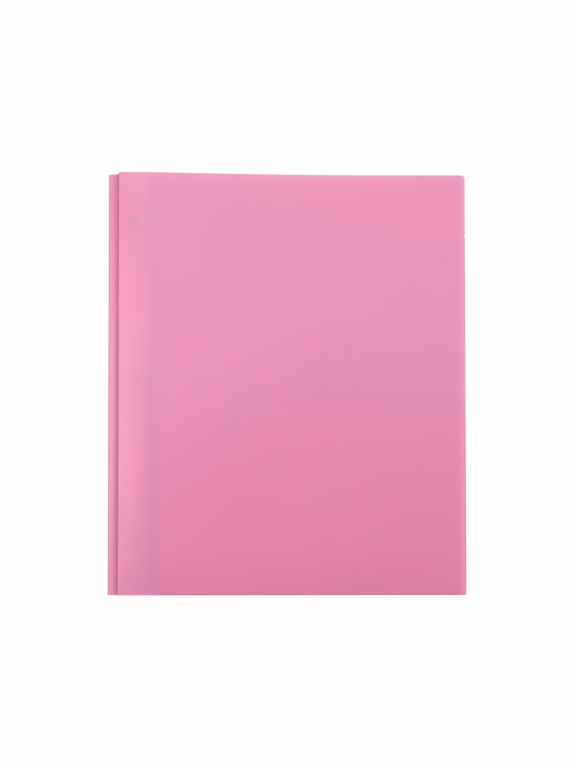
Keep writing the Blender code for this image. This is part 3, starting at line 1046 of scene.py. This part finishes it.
def proud_humps(shape):
    """Where the proud prongs press on the front cover, halfway up the rise to their humps, and how dark the
    painted shade over each one is.
    """
    places = []
    for place in PRONG_PLACES:
        for name, side in PRONG_SIDES:
            low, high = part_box(f"prong_{place}_{name}")
            if high.z - STRIP_LOW.z > PROUD_HUMP:
                root = low.y if side > 0 else high.y
                centre = ((low.x + high.x) / 2, root + side * shape.hump_in / 2, high.z)
                places.append((centre, SPOT_SHADE[place]))
    return places


def prong_line(name, side, shape):
    """A prong's line along the folder, from its root up over the hump and out flat."""
    low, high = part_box(name)
    thickness = shape.prong_thickness
    root = low.y + thickness / 2 if side > 0 else high.y - thickness / 2
    base = STRIP_LOW.z
    hump = high.z - thickness / 2 - base
    if hump > PROUD_HUMP:
        hump += shape.proud_lift
    rest = STRIP_HIGH.z + CLEARANCE + thickness / 2 - base
    tip = (high.y if side > 0 else low.y) - root
    knots = [
        (Vector((0, 0)), Vector((0, hump / 2))),
        (Vector((side * shape.hump_in, hump)), Vector((side * shape.hump_reach, 0))),
        (Vector((side * shape.prong_flat, rest)), Vector((side * shape.hump_reach, 0))),
    ]
    points = []
    for (start, out), (end, into) in zip(knots, knots[1:]):
        curve = (start, start + out, end - into, end)
        points.extend(bezier(curve, t) for t in fractions(PRONG_STEPS)[:-1])
    flat = knots[-1][0]
    points.extend(flat.lerp(Vector((tip, rest)), t) for t in fractions(PRONG_STEPS))
    return [(root + p.x, base + p.y) for p in points]


def add_prong(name, body, side, shape, look):
    """One bent prong with a rounded tip."""
    low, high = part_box(name)
    x = (low.x + high.x) / 2
    half = PRONG_WIDTH / 2
    line = prong_line(name, side, shape)
    tip_y, tip_z = line[-1]
    line = [p for p in line if abs(tip_y - p[0]) > half or p[1] > tip_z + 0.2 * MM]
    for turn in (math.pi / 2 * t for t in fractions(TIP_STEPS)):
        line.append((tip_y - side * half * (1 - math.sin(turn)), tip_z))
    bm = bmesh.new()
    lines = []
    for y, z in line:
        to_tip = abs(tip_y - y)
        width = half
        if to_tip < half and abs(z - tip_z) < 0.01 * MM:
            width = max(PRONG_TIP, math.sqrt(max(0.0, half * half - (half - to_tip) ** 2)))
        lines.append([(x + width * c, y, z) for c in (-1, -0.5, 0, 0.5, 1)])
    strip_faces(bm, lines)
    piece = thick_piece(f"{name}_bent", bm, (steel_finish(look),), shape.prong_thickness, PRONG_ROUND)
    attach(piece, body)
    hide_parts(name)


def add_fasteners(shape, look):
    """Three fasteners: each a base under the strip and two prongs."""
    steel = steel_finish(look)
    for place in PRONG_PLACES:
        base = frame["nodes"][f"fastener_base_{place}"]
        base.data.materials.clear()
        base.data.materials.append(steel)
        for name, side in PRONG_SIDES:
            add_prong(f"prong_{place}_{name}", f"{place}_{name}_prong", side, shape, look)


# Stage


def sees_background(tree):
    """Where a ray comes from the camera, a mirror or glass, but not through a sheet that scatters it."""
    path = add_node(tree, "LightPath").outputs
    glass = calc(tree, "SUBTRACT", path["Is Transmission Ray"], path["Is Diffuse Ray"])
    shiny = calc(tree, "MAXIMUM", path["Is Glossy Ray"], glass)
    return calc(tree, "MAXIMUM", path["Is Camera Ray"], shiny)


def add_floor(stage):
    """A plain pale floor that shows white and keeps the folder's shadow."""
    bm = bmesh.new()
    bmesh.ops.create_grid(bm, x_segments=1, y_segments=1, size=FLOOR_HALF)
    material, tree, surface = new_finish("pale_floor_finish")
    feed_inputs(tree, surface, Base_Color=(*stage.floor, 1), Roughness=0.9, Specular_IOR_Level=0.1)
    white = add_node(tree, "Emission", Strength=1.0)
    seen = calc(tree, "MULTIPLY", sees_background(tree), FLOOR_WHITE)
    mix = mix_shader(tree, seen, surface, white)
    feed_inputs(tree, tree.nodes["Material Output"], Surface=mix.outputs[0])
    floor = mesh_piece("floor", bm, (material,))
    floor.location.z = -FLOOR_DROP


def add_light(name, place, target, size, power):
    """A soft rectangular light turned towards a target."""
    lamp = bpy.data.lights.new(name, "AREA")
    lamp.shape = "RECTANGLE"
    lamp.size, lamp.size_y = size
    lamp.energy = power
    light = bpy.data.objects.new(name, lamp)
    light.location = place
    light.rotation_euler = (Vector(target) - Vector(place)).to_track_quat("-Z", "Y").to_euler()
    bpy.context.scene.collection.objects.link(light)


def add_sky(strength):
    """Even light from all round, white where the camera sees it."""
    world = bpy.data.worlds.new("studio")
    world.use_nodes = True
    tree = world.node_tree
    tree.nodes.clear()
    glow = add_node(tree, "Background", Color=(1, 1, 1, 1), Strength=strength)
    white = add_node(tree, "Background", Color=(1, 1, 1, 1), Strength=1.0)
    sky = mix_shader(tree, sees_background(tree), glow, white)
    add_node(tree, "OutputWorld", Surface=sky.outputs[0])
    bpy.context.scene.world = world


def add_camera(stage):
    """The camera nearly straight above the folder."""
    data = bpy.data.cameras.new("camera")
    data.lens = stage.lens
    data.sensor_width = 36
    data.shift_x, data.shift_y = stage.shift
    camera = bpy.data.objects.new("camera", data)
    camera.location = stage.camera_place
    camera.rotation_euler = stage.camera_turn
    bpy.context.scene.collection.objects.link(camera)
    bpy.context.scene.camera = camera


# Operators


def settings(context):
    """The shape and the look that the user has set."""
    return context.scene.folder_shape, context.scene.folder_look


class FOLDER_OT_covers(bpy.types.Operator):
    """Make both covers with their rounded edges"""

    bl_idname = "folder.covers"
    bl_label = "Covers"

    def execute(self, context):
        for side in SIDES:
            add_cover(side, *settings(context))
        return {"FINISHED"}


class FOLDER_OT_pockets(bpy.types.Operator):
    """Make the tall and short pockets of both covers"""

    bl_idname = "folder.pockets"
    bl_label = "Pockets"

    def execute(self, context):
        for side in SIDES:
            tall_pocket(side, *settings(context))
            short_pocket(side, *settings(context))
        return {"FINISHED"}


class FOLDER_OT_spine(bpy.types.Operator):
    """Make the spine panel and the creased strips on both sides of it"""

    bl_idname = "folder.spine"
    bl_label = "Spine and score lines"

    def execute(self, context):
        add_spine(*settings(context))
        add_score_lines(*settings(context))
        return {"FINISHED"}


class FOLDER_OT_binding_strip(bpy.types.Operator):
    """Make the slotted strip that holds the fasteners"""

    bl_idname = "folder.binding_strip"
    bl_label = "Binding strip"

    def execute(self, context):
        add_binding_strip(*settings(context))
        return {"FINISHED"}


class FOLDER_OT_fasteners(bpy.types.Operator):
    """Make the fasteners' prongs and finish their bases"""

    bl_idname = "folder.fasteners"
    bl_label = "Fasteners"

    def execute(self, context):
        add_fasteners(*settings(context))
        return {"FINISHED"}


class FOLDER_OT_stage(bpy.types.Operator):
    """Make the floor, the lights and the camera"""

    bl_idname = "folder.stage"
    bl_label = "Stage"

    def execute(self, context):
        stage = context.scene.folder_stage
        add_floor(stage)
        for name, place, target, size in LIGHTS:
            add_light(f"{name}_light", place, target, size, getattr(stage, f"{name}_power"))
        add_sky(stage.sky)
        add_camera(stage)
        context.scene.view_settings.view_transform = "Standard"
        return {"FINISHED"}


class FOLDER_PT_panel(bpy.types.Panel):
    """The folder's steps in the sidebar"""

    bl_idname = "FOLDER_PT_panel"
    bl_label = "Pocket folder"
    bl_space_type = "VIEW_3D"
    bl_region_type = "UI"
    bl_category = "Folder"

    def draw(self, context):
        for step in STEPS:
            self.layout.operator(step.bl_idname)


STEPS = (
    FOLDER_OT_covers,
    FOLDER_OT_pockets,
    FOLDER_OT_spine,
    FOLDER_OT_binding_strip,
    FOLDER_OT_fasteners,
    FOLDER_OT_stage,
)
SETTINGS = {"folder_shape": FolderShape, "folder_look": FolderLook, "folder_stage": FolderStage}
CLASSES = (*SETTINGS.values(), *STEPS, FOLDER_PT_panel)


def register():
    """Adds the classes and the folder's settings on the scene."""
    for kind in CLASSES:
        bpy.utils.register_class(kind)
    for name, kind in SETTINGS.items():
        setattr(bpy.types.Scene, name, bpy.props.PointerProperty(type=kind))


def unregister():
    """Takes the settings and the classes away again."""
    for name in SETTINGS:
        delattr(bpy.types.Scene, name)
    for kind in reversed(CLASSES):
        bpy.utils.unregister_class(kind)


def main():
    """Makes the folder and its stage."""
    register()
    bpy.ops.folder.covers()
    bpy.ops.folder.pockets()
    bpy.ops.folder.spine()
    bpy.ops.folder.binding_strip()
    bpy.ops.folder.fasteners()
    bpy.ops.folder.stage()


if __name__ == "__main__":
    main()
